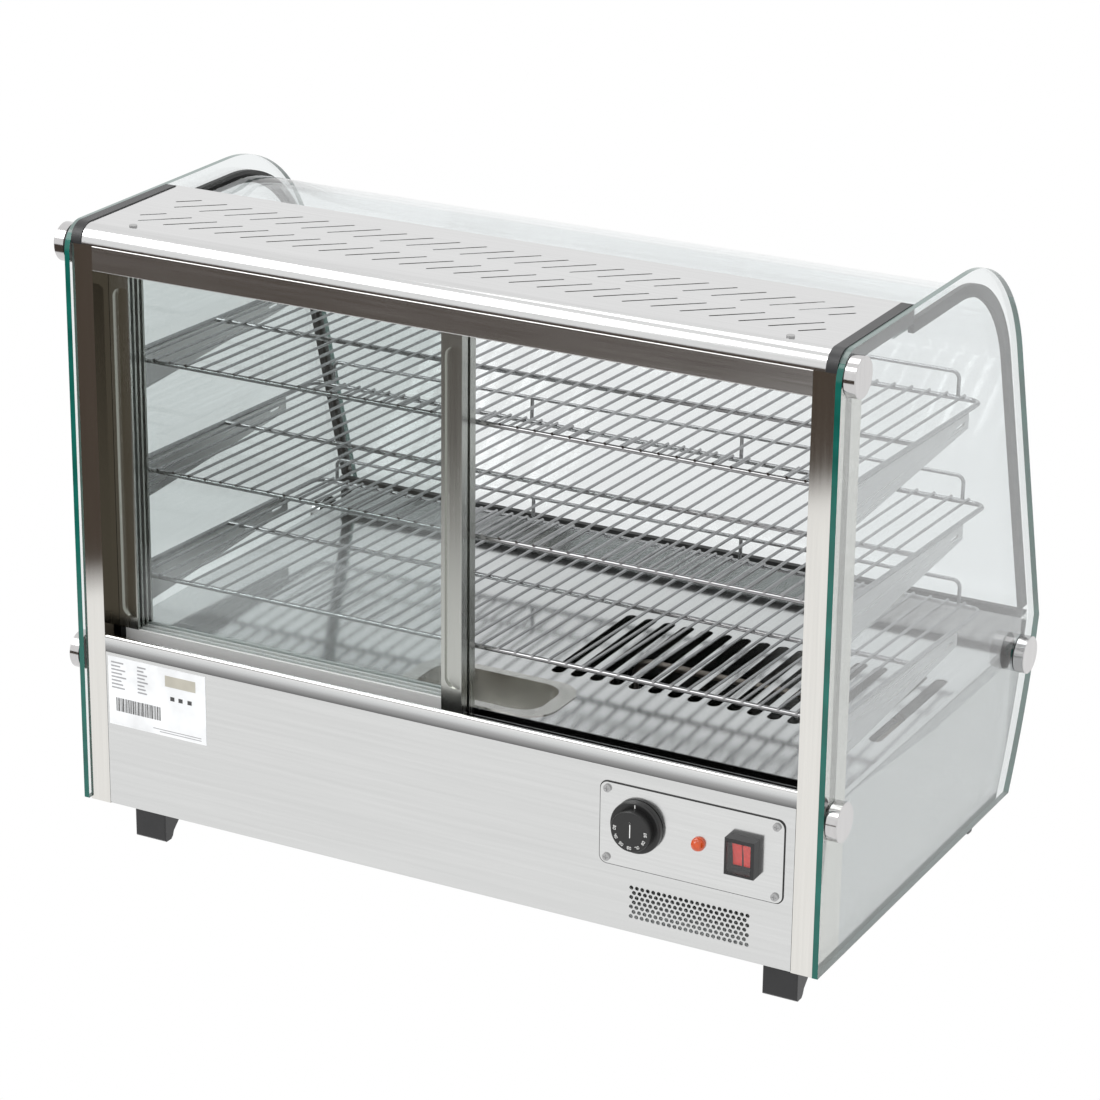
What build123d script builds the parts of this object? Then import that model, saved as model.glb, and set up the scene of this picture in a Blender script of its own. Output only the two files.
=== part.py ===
from build123d import *
import math
import os

# Countertop heated display case, millimetres.
# Rear (operator) side faces -Y, curved customer side faces +Y, +Z is up.
# Every "y" below is measured from the rear face of the case and every "z"
# from the lower edge of the casing; place() turns them into model space.

# ---- driving dimensions -------------------------------------------------
CASE_W = 830.0  # across the outer faces of the two rear posts
CASE_D = 545.0  # rear face to the foremost corner of the side glass
CASE_H = 624.0  # lower edge of the casing to the flat top
FOOT_H = 33.0
FOOT_W = 37.0
FOOT_X_LEFT = 345.0
FOOT_X_RIGHT = 378.0
KNOB_OUT = 19.0  # the thermostat knob stands this far off the rear face

SHEET = 1.2
POST_W = 24.0
POST_D = 57.0
GLASS_T = 6.0
LEAN = 0.299  # the customer glass leans back this much per unit of height
NOSE_Z = 184.0  # height of the foremost corner
TOP_R = 165.0  # outline radius between leaning front and flat top
INSET = 20.0  # customer glass lies this far inside the side outline
GLASS_REAR = -4.0
CAP_R = 20.0
CAP_OUT = 19.0
WASHER_T = 1.6

SEAM_Z = 172.0  # top of the rear panel
SILL_Z = 190.0
DECK_Z = 174.0
TRAY_W = 146.0
TRAY_D = 74.0
TRAY_H = 40.0
TRAY_R = 25.0
TRAY_RIM = 16.0
TRAY_GAP = 0.75
UPSTAND_Y = 508.0
UPSTAND_Z = 193.0
BASE_TOE = 464.0  # depth of the base at its lower edge

RAIL_Z0 = 579.0
RAIL_Z1 = 605.0
COVER_D = 173.0
COVER_R = 18.0
LID_PITCH = 30.0
LID_ROWS = ((4.4, 120.0, 24), (0.4, 61.5, 24))  # centre x, y and slots of each row
LID_SLOT = 54.0
TRIM_W = 11.5  # black strip along each side of the top cover
GASKET_W = 6.0
LAMP_Z = 602.5
LAMP_R = 7.0

DOOR_T = 11.0
DOOR_Y = 27.0
DOOR_PITCH = 16.0
STILE_W = 23.0
DOOR_LAP = 14.5  # half of the overlap of the two closed doors
DOOR_Z0 = 167.0
DOOR_Z1 = 590.0
DOOR_GLASS_T = 4.0

SHELF_TILT = 2.2  # degrees, front edge lower
SHELF_SPEC = (
    ("top", 472.0, 62.0, 338.0),
    ("middle", 354.0, 62.0, 365.0),
    ("lower", 238.6, 61.0, 371.0),
)
SHELF_WIRE = 2.6
ROD_WIRE = 1.5
ROD_COUNT = 41
RAIL_UP = 27.0
BRACKET_REACH = 366.0

PLATE_X = 282.5
PLATE_Z = 113.0
PLATE_W = 195.0
PLATE_H = 86.0
KNOB_X = 226.0
KNOB_Z = 117.0
KNOB_R = 21.0
SKIRT_R = 27.0
LAMP_X = 291.0
SWITCH_X = 339.0

# ---- derived ------------------------------------------------------------
HALF = CASE_W / 2
JAMB = HALF - POST_W
REAR_Y = -(CASE_D + KNOB_OUT) / 2 + KNOB_OUT
LEAN_A = math.atan(LEAN)
NOSE_Y = CASE_D
DOOR_W = JAMB + DOOR_LAP
SHELF_X = HALF - 13.5
PANE_X = HALF - GASKET_W
TRAY_Y = POST_D + TRAY_D / 2 + 12.0


def place(y, z):
    return (y + REAR_Y, z + FOOT_H)


def slab(x0, x1, y0, y1, z0, z1, mode=Mode.ADD):
    cy, cz = place((y0 + y1) / 2, (z0 + z1) / 2)
    with Locations(((x0 + x1) / 2, cy, cz)):
        Box(x1 - x0, y1 - y0, z1 - z0, mode=mode)


def rod_y(x, y0, y1, z, r, mode=Mode.ADD):
    cy, cz = place((y0 + y1) / 2, z)
    with Locations(Location((x, cy, cz), (90, 0, 0))):
        Cylinder(r, y1 - y0, mode=mode)


def rod_x(x0, x1, y, z, r, mode=Mode.ADD):
    cy, cz = place(y, z)
    with Locations(Location(((x0 + x1) / 2, cy, cz), (0, 90, 0))):
        Cylinder(r, x1 - x0, mode=mode)


def rod_z(x, y, z0, z1, r, mode=Mode.ADD):
    cy, cz = place(y, (z0 + z1) / 2)
    with Locations((x, cy, cz)):
        Cylinder(r, z1 - z0, mode=mode)


def profile_x(x0, x1, points, mode=Mode.ADD):
    """Polygon in the side view, swept from x0 to x1."""
    with BuildSketch(Plane.YZ.offset(x0)) as side:
        with BuildLine():
            Polyline(*[place(*p) for p in points], close=True)
        make_face()
    extrude(side.sketch, amount=x1 - x0, mode=mode)


def save(part, name):
    part.part.label = name
    export_step(part.part, "parts/" + name + ".step")


# ---- the curved outline -------------------------------------------------
def lean_y(z, d=0.0):
    """Leaning front at height z, moved inwards by d."""
    return NOSE_Y - LEAN * (z - NOSE_Z) - d / math.cos(LEAN_A)


def arc_points(d=0.0):
    """Start, middle and end of the top bend, moved inwards by d."""
    z0 = CASE_H - TOP_R * (1 - math.sin(LEAN_A))
    cy = lean_y(z0) - TOP_R * math.cos(LEAN_A)
    cz = z0 - TOP_R * math.sin(LEAN_A)
    r = TOP_R - d
    mid = (LEAN_A + math.pi / 2) / 2
    return [
        (cy + r * math.cos(a), cz + r * math.sin(a))
        for a in (LEAN_A, mid, math.pi / 2)
    ]


def band(x0, x1, d0, d1, z_low, y_end):
    """Strip between two inward offsets of the outline, swept along X."""
    outer = arc_points(d0)
    inner = arc_points(d1)
    with BuildSketch(Plane.YZ.offset(x0)) as strip:
        with BuildLine():
            Line(place(lean_y(z_low, d0), z_low), place(*outer[0]))
            ThreePointArc(*[place(*p) for p in outer])
            Line(place(*outer[2]), place(y_end, CASE_H - d0))
            Line(place(y_end, CASE_H - d0), place(y_end, CASE_H - d1))
            Line(place(y_end, CASE_H - d1), place(*inner[2]))
            ThreePointArc(*[place(*p) for p in reversed(inner)])
            Line(place(*inner[0]), place(lean_y(z_low, d1), z_low))
            Line(place(lean_y(z_low, d1), z_low), place(lean_y(z_low, d0), z_low))
        make_face()
    extrude(strip.sketch, amount=x1 - x0)


TOE_MID = (NOSE_Y - 26.0, 86.0)
TOE_LOW = (BASE_TOE + INSET, 2.0)


def toe_arc(d):
    """Lower front curve, moved back by d."""
    return [
        place(NOSE_Y - d, NOSE_Z),
        place(TOE_MID[0] - d, TOE_MID[1]),
        place(TOE_LOW[0] - d, TOE_LOW[1]),
    ]


# ---- casing -------------------------------------------------------------
def build_base():
    front = BASE_TOE - SHEET - 0.3
    with BuildPart() as base_pan:
        slab(1.6 - HALF, HALF - 1.6, POST_D + 0.3, front - 1.0, 0.0, 1.5)
        slab(0.4 - JAMB, JAMB - 0.4, SHEET + 0.2, POST_D + 0.3, 0.0, 1.5)
        with Locations((-300.0, 380.0 + REAR_Y, FOOT_H + 0.75)):
            Cylinder(11.0, 4.0, mode=Mode.SUBTRACT)
        with Locations((200.0, 120.0 + REAR_Y, FOOT_H + 0.75)):
            with GridLocations(14.0, 10.0, 12, 4):
                Cylinder(2.5, 4.0, mode=Mode.SUBTRACT)
    save(base_pan, "base_pan")

    edge = JAMB - 0.4
    hole = 4.3 / 2
    pitch = 5.93
    with BuildPart() as rear_panel:
        slab(-edge, edge, 0.0, SHEET, 1.5, SEAM_Z - 0.3)
        slab(
            PLATE_X - PLATE_W / 2 + 12,
            PLATE_X + PLATE_W / 2 - 12,
            -1,
            SHEET + 1,
            PLATE_Z - PLATE_H / 2 + 12,
            PLATE_Z + PLATE_H / 2 - 12,
            Mode.SUBTRACT,
        )
        centre = (281.8, 33.5)
        with BuildSketch(Plane.XZ.offset(-REAR_Y - SHEET - 1)):
            with Locations((centre[0], centre[1] + FOOT_H)):
                with GridLocations(pitch, pitch * math.sqrt(3), 22, 4):
                    Circle(hole)
                with GridLocations(pitch, pitch * math.sqrt(3), 21, 3):
                    Circle(hole)
        extrude(amount=SHEET + 3, mode=Mode.SUBTRACT)
    save(rear_panel, "rear_panel")

    for side, name in ((-1, "left"), (1, "right")):
        x0 = min(side * HALF, side * (HALF - SHEET))
        with BuildPart() as base_side:
            with BuildSketch(Plane.YZ.offset(x0)):
                with BuildLine():
                    Line(place(POST_D, 1.5), place(POST_D, 167.0))
                    y_top = NOSE_Y - INSET - 3.5
                    Line(place(POST_D, 167.0), place(y_top - 3.0, 167.0))
                    ThreePointArc(
                        place(y_top - 3.0, 167.0),
                        place(TOE_MID[0] - INSET - 2.0, TOE_MID[1]),
                        place(BASE_TOE - 2.0, 1.5),
                    )
                    Line(place(BASE_TOE - 2.0, 1.5), place(POST_D, 1.5))
                make_face()
            extrude(amount=SHEET)
        save(base_side, "base_side_" + name)

    d0, d1 = INSET, INSET + SHEET
    with BuildPart() as base_front:
        with BuildSketch(Plane.YZ.offset(-HALF + 0.2)):
            with BuildLine():
                ThreePointArc(*toe_arc(d0))
                Line(toe_arc(d0)[2], toe_arc(d1)[2])
                ThreePointArc(*reversed(toe_arc(d1)))
                top = UPSTAND_Z
                Line(toe_arc(d1)[0], place(NOSE_Y - d1 - 2.0, top - SHEET))
                Line(
                    place(NOSE_Y - d1 - 2.0, top - SHEET),
                    place(UPSTAND_Y, top - SHEET),
                )
                Line(place(UPSTAND_Y, top - SHEET), place(UPSTAND_Y, top))
                Line(place(UPSTAND_Y, top), place(NOSE_Y - d0 - 2.0, top))
                Line(place(NOSE_Y - d0 - 2.0, top), toe_arc(d0)[0])
            make_face()
        extrude(amount=CASE_W - 0.4)
    save(base_front, "base_front_panel")


def build_deck():
    side = HALF - 0.2
    with BuildPart() as deck:
        slab(-side, side, POST_D, UPSTAND_Y, DECK_Z - SHEET, DECK_Z)
        slab(
            -side, side, UPSTAND_Y - SHEET, UPSTAND_Y, DECK_Z - SHEET, UPSTAND_Z - SHEET
        )
        for s in (-1, 1):
            xa, xb = sorted((s * side, s * (side - SHEET)))
            slab(xa, xb, POST_D, UPSTAND_Y, 167.4, DECK_Z - SHEET)
        # tray well
        with BuildSketch(Plane.XY.offset(DECK_Z + FOOT_H + 1)):
            with Locations((0.0, TRAY_Y + REAR_Y)):
                well_w = TRAY_W + 2 * TRAY_GAP
                well_d = TRAY_D + 2 * TRAY_GAP
                RectangleRounded(well_w, well_d, TRAY_R + TRAY_GAP)
        extrude(amount=-4.0, mode=Mode.SUBTRACT)
        # hot air slots over the heater, right half of the deck
        with BuildSketch(Plane.XY.offset(DECK_Z + FOOT_H + 1)):
            with Locations((216.5, 264.0 + REAR_Y)):
                with GridLocations(22.0, 1.0, 17, 1):
                    SlotOverall(178.0, 13.5, rotation=90)
        extrude(amount=-4.0, mode=Mode.SUBTRACT)
    save(deck, "deck_plate")


def build_tray():
    with BuildPart() as tray:
        cy, cz = place(TRAY_Y, DECK_Z)
        with BuildSketch(Plane.XY.offset(cz + 0.1)):
            with Locations((0, cy)):
                rim_w = TRAY_W + 2 * TRAY_RIM
                rim_d = TRAY_D + 2 * (TRAY_RIM - 6.0)
                RectangleRounded(rim_w, rim_d, TRAY_R + 6.0)
        extrude(amount=1.0)
        with BuildSketch(Plane.XY.offset(cz + 1.1)):
            with Locations((0, cy)):
                RectangleRounded(TRAY_W, TRAY_D, TRAY_R)
        extrude(amount=-TRAY_H)
        with BuildSketch(Plane.XY.offset(cz + 1.1)):
            with Locations((0, cy)):
                RectangleRounded(TRAY_W - 2.0, TRAY_D - 2.0, TRAY_R - 1.0)
        extrude(amount=-TRAY_H + 1.0, mode=Mode.SUBTRACT)
    save(tray, "water_tray")


def build_frame():
    for side, name in ((-1, "left"), (1, "right")):
        xa, xb = sorted((side * HALF, side * JAMB))
        with BuildPart() as post:
            slab(xa, xb, 0.0, POST_D, 0.0, RAIL_Z1)
            slab(
                xa + 1.5, xb - 1.5, 1.5, POST_D - 1.5, -1.0, RAIL_Z1 - 1.5, Mode.SUBTRACT
            )
            # hook slots for the shelf brackets, in the face towards the food
            cy, _ = place(POST_D, 0)
            with BuildSketch(Plane.XZ.offset(-cy - 1)):
                with Locations((side * (HALF - 12.0), FOOT_H + 330.0)):
                    with GridLocations(1.0, 20.0, 1, 17):
                        SlotOverall(12.0, 3.2, rotation=90)
            extrude(amount=4.0, mode=Mode.SUBTRACT)
        save(post, "rear_post_" + name)

    with BuildPart() as rail:
        slab(-JAMB, JAMB, 0.0, POST_D, RAIL_Z0, RAIL_Z1)
        for k in (0, 1):
            y = DOOR_Y + k * DOOR_PITCH
            slab(-JAMB, JAMB, y - 1.0, y + DOOR_T + 1.0, RAIL_Z0 - 1, 600.0, Mode.SUBTRACT)
        slab(-JAMB, JAMB, 1.5, DOOR_Y - 2.5, RAIL_Z0 + 1.5, 603.5, Mode.SUBTRACT)
        fillet(rail.edges().filter_by(Axis.X).sort_by(Axis.Y)[:2], 1.2)
    save(rail, "top_rail")

    with BuildPart() as sill:
        inner = DOOR_Y + DOOR_PITCH + DOOR_T + 1.5
        floor = DOOR_Z0 - 4.0
        profile_x(
            -JAMB,
            JAMB,
            (
                (0.0, SEAM_Z),
                (SHEET, SEAM_Z),
                (SHEET, floor - SHEET),
                (POST_D, floor - SHEET),
                (POST_D, DECK_Z),
                (inner, DECK_Z),
                (inner, floor),
                (DOOR_Y + DOOR_T + 3.2, floor),
                (DOOR_Y + DOOR_T + 3.2, DECK_Z),
                (DOOR_Y + DOOR_T + 1.8, DECK_Z),
                (DOOR_Y + DOOR_T + 1.8, floor),
                (3.0, floor),
                (3.0, SILL_Z),
                (0.0, SILL_Z),
            ),
        )
        crest = sill.edges().filter_by(Axis.X).group_by(Axis.Z)[-1]
        fillet(crest.sort_by(Axis.Y)[0], 2.8)
    save(sill, "door_sill")


def build_cover():
    cover_x = HALF - TRIM_W - 0.2
    r = COVER_R
    with BuildPart() as cover:
        with BuildSketch(Plane.YZ.offset(-cover_x)):
            with BuildLine():
                bottom = RAIL_Z1 + 0.2
                mid = r - r * math.cos(math.radians(45))
                Line(place(0, bottom), place(0, CASE_H - r))
                ThreePointArc(
                    place(0, CASE_H - r), place(mid, CASE_H - mid), place(r, CASE_H)
                )
                Line(place(r, CASE_H), place(COVER_D, CASE_H))
                Line(place(COVER_D, CASE_H), place(COVER_D, bottom))
                Line(place(COVER_D, bottom), place(COVER_D - SHEET, bottom))
                Line(place(COVER_D - SHEET, bottom), place(COVER_D - SHEET, CASE_H - SHEET))
                Line(place(COVER_D - SHEET, CASE_H - SHEET), place(r, CASE_H - SHEET))
                ri = r - SHEET
                mi = r - ri * math.cos(math.radians(45))
                ThreePointArc(
                    place(r, CASE_H - SHEET),
                    place(mi, CASE_H - mi),
                    place(SHEET, CASE_H - r),
                )
                Line(place(SHEET, CASE_H - r), place(SHEET, bottom))
                Line(place(SHEET, bottom), place(0, bottom))
            make_face()
        extrude(amount=2 * cover_x)
        with BuildSketch(Plane.XY.offset(CASE_H + FOOT_H + 1)):
            for x, y, count in LID_ROWS:
                with Locations((x, y + REAR_Y)):
                    with GridLocations(LID_PITCH, 1.0, count, 1):
                        SlotOverall(LID_SLOT, 2.6, rotation=41)
                # a half slot closes the row at either end
                for s in (-1, 1):
                    turn = math.radians(41)
                    cx = x + s * (LID_PITCH * (count + 1) / 2 - LID_SLOT / 4 * math.cos(turn))
                    cy = y - s * LID_SLOT / 4 * math.sin(turn)
                    with Locations((cx, cy + REAR_Y)):
                        SlotOverall(LID_SLOT / 2, 2.6, rotation=41)
        extrude(amount=-4.0, mode=Mode.SUBTRACT)
        for s in (-1, 1):
            rod_z(s * 357.0, 24.0, CASE_H - 2, CASE_H + 1, 2.2, Mode.SUBTRACT)
    save(cover, "top_cover")

    with BuildPart() as screws:
        for s in (-1, 1):
            rod_z(s * 357.0, 24.0, CASE_H - 8, CASE_H + 0.1, 2.0)
            rod_z(s * 357.0, 24.0, CASE_H + 0.1, CASE_H + 1.6, 4.0)
    save(screws, "cover_screws")

    for side, name in ((-1, "left"), (1, "right")):
        xa, xb = sorted((side * (HALF - 0.1), side * (HALF - TRIM_W)))
        with BuildPart() as trim:
            with BuildSketch(Plane.YZ.offset(xa)):
                with BuildLine():
                    z0 = RAIL_Z1 + 0.2
                    z1 = CASE_H + 1.0
                    Line(place(-1.0, z0), place(-1.0, z1 - r - 1))
                    q = (r + 1) * (1 - math.cos(math.radians(45)))
                    ThreePointArc(
                        place(-1.0, z1 - r - 1), place(-1 + q, z1 - q), place(r, z1)
                    )
                    Line(place(r, z1), place(COVER_D - 6, z1))
                    ThreePointArc(
                        place(COVER_D - 6, z1),
                        place(COVER_D - 0.7, z1 - 1.8),
                        place(COVER_D + 1, z1 - 7),
                    )
                    Line(place(COVER_D + 1, z1 - 7), place(COVER_D + 1, z0))
                    Line(place(COVER_D + 1, z0), place(-1.0, z0))
                make_face()
            extrude(amount=xb - xa)
        save(trim, "cover_trim_" + name)

    with BuildPart() as ceiling:
        slab(-JAMB, JAMB, POST_D + 0.2, 160.0, 592.0, 593.0)
        slab(-JAMB, JAMB, POST_D + 0.2, POST_D + 1.2, 593.0, RAIL_Z1)
        slab(-352, 352, 85, 125, 591.0, 594.0, Mode.SUBTRACT)
        for s in (-1, 1):
            xa, xb = sorted((s * 356.0, s * 358.0))
            slab(xa, xb, 94.0, 116.0, 593.0, 612.0)
            rod_x(xa - 1, xb + 1, 105.0, LAMP_Z, LAMP_R + 0.2, Mode.SUBTRACT)
    save(ceiling, "ceiling_plate")

    with BuildPart() as lamp:
        rod_x(-374, 374, 105.0, LAMP_Z, LAMP_R)
    save(lamp, "lamp_tube")


def build_fixings(fixing):
    glass_x = HALF + GLASS_T
    face_x = HALF + CAP_OUT
    spots = [(side, y, z) for side in (-1, 1) for y, z in fixing]
    with BuildPart() as washers:
        for side, y, z in spots:
            a, b = sorted((side * glass_x, side * (glass_x + WASHER_T)))
            rod_x(a, b, y, z, CAP_R - 1.0)
            rod_x(a - 0.5, b + 0.5, y, z, 5.5, Mode.SUBTRACT)
    save(washers, "fixing_washers")

    with BuildPart() as caps:
        for side, y, z in spots:
            a, b = sorted((side * (glass_x + WASHER_T), side * face_x))
            rod_x(a, b, y, z, CAP_R)
            a, b = sorted((side * HALF, side * (glass_x + WASHER_T)))
            rod_x(a, b, y, z, 5.0)
        rims = caps.edges().filter_by(GeomType.CIRCLE)
        outer = [e for e in rims if abs(abs(e.center().X) - face_x) < 0.1]
        chamfer(outer, 0.8)
    save(caps, "fixing_caps")


def build_glass():
    rear = GLASS_REAR + CAP_R
    top = RAIL_Z1 - 5.0
    low = DECK_Z - 13.0
    fixing = ((rear, top), (rear, low), (NOSE_Y - 55.0, low - 1.0))
    build_fixings(fixing)
    for side, name in ((-1, "left"), (1, "right")):
        xa, xb = sorted((side * HALF, side * (HALF + GLASS_T)))
        with BuildPart() as pane:
            arc = arc_points()
            with BuildSketch(Plane.YZ.offset(xa)) as face:
                with BuildLine():
                    Line(place(GLASS_REAR, 2.0), place(*TOE_LOW))
                    ThreePointArc(*reversed(toe_arc(0.0)))
                    Line(place(NOSE_Y, NOSE_Z), place(*arc[0]))
                    ThreePointArc(*[place(*p) for p in arc])
                    Line(place(*arc[2]), place(GLASS_REAR, CASE_H))
                    Line(place(GLASS_REAR, CASE_H), place(GLASS_REAR, 2.0))
                make_face()
                corners = face.vertices()
                fillet(corners.sort_by_distance(place(GLASS_REAR, CASE_H) + (0,))[0], 28.0)
                corners = face.vertices()
                fillet(corners.sort_by_distance(place(NOSE_Y, NOSE_Z) + (0,))[0], 7.0)
                for y, z in fixing:
                    with Locations(place(y, z)):
                        Circle(7.0, mode=Mode.SUBTRACT)
            extrude(amount=GLASS_T)
        save(pane, "side_glass_" + name)

        xa, xb = sorted((side * (HALF - 0.1), side * PANE_X))
        with BuildPart() as gasket:
            band(xa, xb, INSET - 4.0, INSET + GLASS_T + 3.0, UPSTAND_Z + 9.0, COVER_D + 1.2)
        save(gasket, "glass_gasket_" + name)

    with BuildPart() as front:
        band(-PANE_X, PANE_X, INSET, INSET + GLASS_T, UPSTAND_Z + 3.2, 140.0)
    save(front, "front_glass")

    z = UPSTAND_Z
    back = lean_y(z + 3.0, INSET + GLASS_T) - 2.0
    nose = lean_y(z, INSET) + 1.5
    with BuildPart() as seat:
        profile_x(
            0.2 - HALF,
            HALF - 0.2,
            (
                (UPSTAND_Y - 3.0, z),
                (nose, z),
                (nose, z + 3.0),
                (back, z + 3.0),
                (back, z + 8.0),
                (UPSTAND_Y - 3.0, z + 8.0),
            ),
        )
    save(seat, "front_seat_strip")


# ---- doors --------------------------------------------------------------
def finger_scoop(x0, y0, z0, z1):
    """Scooped finger pull with one steep side and rounded ends."""
    with BuildPart(mode=Mode.PRIVATE) as wedge:
        with BuildSketch(Plane.XY.offset(z0 + FOOT_H)):
            with BuildLine():
                Polyline(
                    (x0 + 4.0, y0 + REAR_Y - 1.0),
                    (x0 + 4.3, y0 + REAR_Y + 2.4),
                    (x0 + 8.0, y0 + REAR_Y + 2.4),
                    (x0 + STILE_W - 1.5, y0 + REAR_Y - 0.02),
                    (x0 + STILE_W - 1.5, y0 + REAR_Y - 1.0),
                    close=True,
                )
            make_face()
        extrude(amount=z1 - z0)
        with BuildSketch(Plane.XZ.offset(-(y0 + REAR_Y) + 3)):
            with Locations((x0 + 4.0 + 12.0, (z0 + z1) / 2 + FOOT_H)):
                RectangleRounded(24.0, z1 - z0, 11.0)
        extrude(amount=-8.0, mode=Mode.INTERSECT)
    return wedge.part


def build_door(name, y0):
    x0 = -JAMB + 0.3
    width = DOOR_W - 0.3
    x1 = x0 + width
    rail_top = SILL_Z + 0.5
    gy0 = y0 + (DOOR_T - DOOR_GLASS_T) / 2
    glass_lap = 7.0

    pieces = (
        ("stile_left", x0, rail_top),
        ("stile_right", x1 - STILE_W, DOOR_Z0),
    )
    for label, sx, sz in pieces:
        scoop = finger_scoop(sx, y0, 203.0, 557.0)
        with BuildPart() as upright:
            slab(sx, sx + STILE_W, y0, y0 + DOOR_T, sz, DOOR_Z1)
            if label == "stile_left":
                ga, gb = sx + STILE_W - glass_lap, sx + STILE_W + 1
            else:
                ga, gb = sx - 1, sx + glass_lap
            slab(
                ga,
                gb,
                gy0 - 0.3,
                gy0 + DOOR_GLASS_T + 0.3,
                rail_top - glass_lap,
                DOOR_Z1 + 1,
                Mode.SUBTRACT,
            )
            add(scoop, mode=Mode.SUBTRACT)
        save(upright, name + "_" + label)

    with BuildPart() as low_rail:
        slab(x0 + 7.5, x1 - STILE_W, y0, y0 + DOOR_T, DOOR_Z0, rail_top)
        slab(
            x0 + STILE_W - glass_lap,
            x1 - STILE_W + 1,
            gy0 - 0.3,
            gy0 + DOOR_GLASS_T + 0.3,
            rail_top - glass_lap,
            rail_top + 1,
            Mode.SUBTRACT,
        )
    save(low_rail, name + "_rail_bottom")

    with BuildPart() as top_rail:
        slab(x0 + STILE_W, x1 - STILE_W, y0, y0 + DOOR_T, DOOR_Z1 - 14.0, DOOR_Z1)
        slab(
            x0 + STILE_W - 1,
            x1 - STILE_W + 1,
            gy0 - 0.3,
            gy0 + DOOR_GLASS_T + 0.3,
            DOOR_Z1 - 15.0,
            DOOR_Z1 - 14.0 + glass_lap,
            Mode.SUBTRACT,
        )
    save(top_rail, name + "_rail_top")

    with BuildPart() as pane:
        slab(
            x0 + STILE_W - glass_lap + 0.3,
            x1 - STILE_W + glass_lap - 0.3,
            gy0,
            gy0 + DOOR_GLASS_T,
            rail_top - glass_lap + 0.1,
            DOOR_Z1 - 14.0 + glass_lap - 0.3,
        )
    save(pane, name + "_glass")

    with BuildPart() as glides:
        slab(x0 + 0.2, x0 + 7.4, y0 + 1, y0 + DOOR_T - 1, DOOR_Z0 - 3.5, rail_top)
        slab(x0 + 7.4, x0 + 40, y0 + 1.5, y0 + DOOR_T - 1.5, DOOR_Z0 - 3.5, DOOR_Z0)
        slab(x1 - 40, x1 - 2, y0 + 1.5, y0 + DOOR_T - 1.5, DOOR_Z0 - 3.5, DOOR_Z0)
    save(glides, name + "_glides")


# ---- shelves ------------------------------------------------------------
def build_shelf(name, z, y0, depth):
    """Wire shelf, drawn level with its rear wire at y0, then tipped forward."""
    r = SHELF_WIRE
    w = SHELF_X - r
    pitch = 2 * w / (ROD_COUNT + 1)
    up = RAIL_UP
    rail_x = w - 25.0
    root = 0.8  # the rail's uprights start inside the front wire
    with BuildPart() as frame:
        with BuildLine():
            FilletPolyline(
                (-w, 0, 0), (w, 0, 0), (w, depth, 0), (-w, depth, 0), radius=12.0, close=True
            )
        with BuildSketch(Plane((0, 0, 0), x_dir=(0, 1, 0), z_dir=(1, 0, 0))):
            Circle(r)
        sweep()
    with BuildPart() as rail:
        with BuildLine():
            FilletPolyline(
                (-rail_x, depth, root),
                (-rail_x, depth, up),
                (rail_x, depth, up),
                (rail_x, depth, root),
                radius=8.0,
            )
        with BuildSketch(Plane((-rail_x, depth, root), z_dir=(0, 0, 1))):
            Circle(2.0)
        sweep()
    wires = [rail.part, Pos(0, depth / 2, 0) * Rot(0, 90, 0) * Cylinder(r, 2 * w)]
    for k in range(ROD_COUNT):
        x = -w + (k + 1) * pitch
        rod = Cylinder(ROD_WIRE, depth + 2 * r)
        wires.append(Pos(x, depth / 2, r + 0.2) * Rot(90, 0, 0) * rod)
    for s in (-1, 1):
        wires.append(Pos(s * rail_x / 3, depth, (up + root) / 2) * Cylinder(2.0, up - root))
    shelf = frame.part.fuse(*wires)
    tip = Location((0, *place(y0, z)), (-SHELF_TILT, 0, 0))
    moved = shelf.moved(tip)
    moved.label = "shelf_" + name
    export_step(moved, "parts/shelf_" + name + ".step")


def shelf_z(z, y0, y):
    return z - (y - y0) * math.tan(math.radians(SHELF_TILT)) - SHELF_WIRE - 0.3


def build_brackets(name, z, y0):
    rear = POST_D + 0.2
    top_rear = shelf_z(z, y0, rear)
    top_tip = shelf_z(z, y0, BRACKET_REACH)
    reach = BRACKET_REACH
    with BuildPart() as brackets:
        for side in (-1, 1):
            x = side * (SHELF_X - SHELF_WIRE)
            profile_x(
                x - 1.0,
                x + 1.0,
                (
                    (rear, top_rear),
                    (reach, top_tip),
                    (reach, top_tip - 16.0),
                    (rear, top_rear - 44.0),
                ),
            )
            # foot of the bracket, flat against the post
            slab(x - 4.0, x + 4.0, rear, rear + 2.0, top_rear - 44.0, top_rear - 2.0)
            for y in (rear + 22.0, reach - 22.0):
                mid = shelf_z(z, y0, y) - 8.5
                slab(x - 2, x + 2, y - 10, y + 10, mid - 1.5, mid + 1.5, Mode.SUBTRACT)
    save(brackets, "brackets_" + name)


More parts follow.
